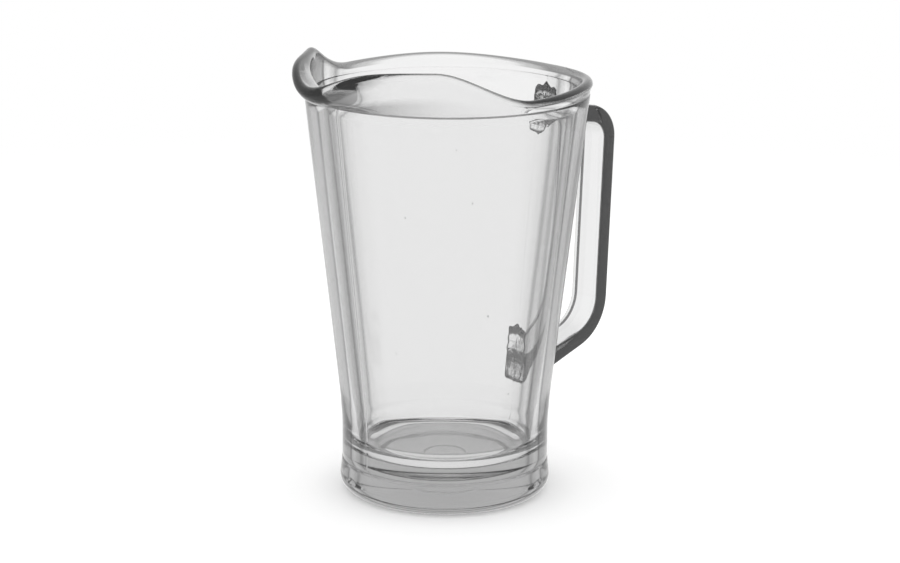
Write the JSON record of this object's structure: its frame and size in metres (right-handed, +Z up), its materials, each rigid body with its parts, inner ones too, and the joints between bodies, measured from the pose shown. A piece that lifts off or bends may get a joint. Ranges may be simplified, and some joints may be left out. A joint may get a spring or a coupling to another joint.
{
  "type": "glass beer pitcher",
  "caption": "Tapered clear glass beer pitcher with a heavy foot, a raised pouring collar with a pinched spout, and a stuck-on strap handle for the whole hand.",
  "frame": {"origin": "centre of the foot's bearing ring, on the vessel axis at the table", "axes": "+Z up along the vessel axis, +X towards the handle, -X towards the spout"},
  "size_m": [0.2078, 0.1494, 0.2341],
  "materials": {
    "clear_glass": "fire polished, with a stippled bearing ring",
    "handle_glass": "fire polished",
    "weld_glass": "crinkled where the hot glass chilled against the wall"
  },
  "bodies": {
    "root": {"body": "clear_glass", "handle": "handle_glass", "upper_weld_pad": "weld_glass", "lower_weld_pad": "weld_glass"}
  },
  "joints": []
}
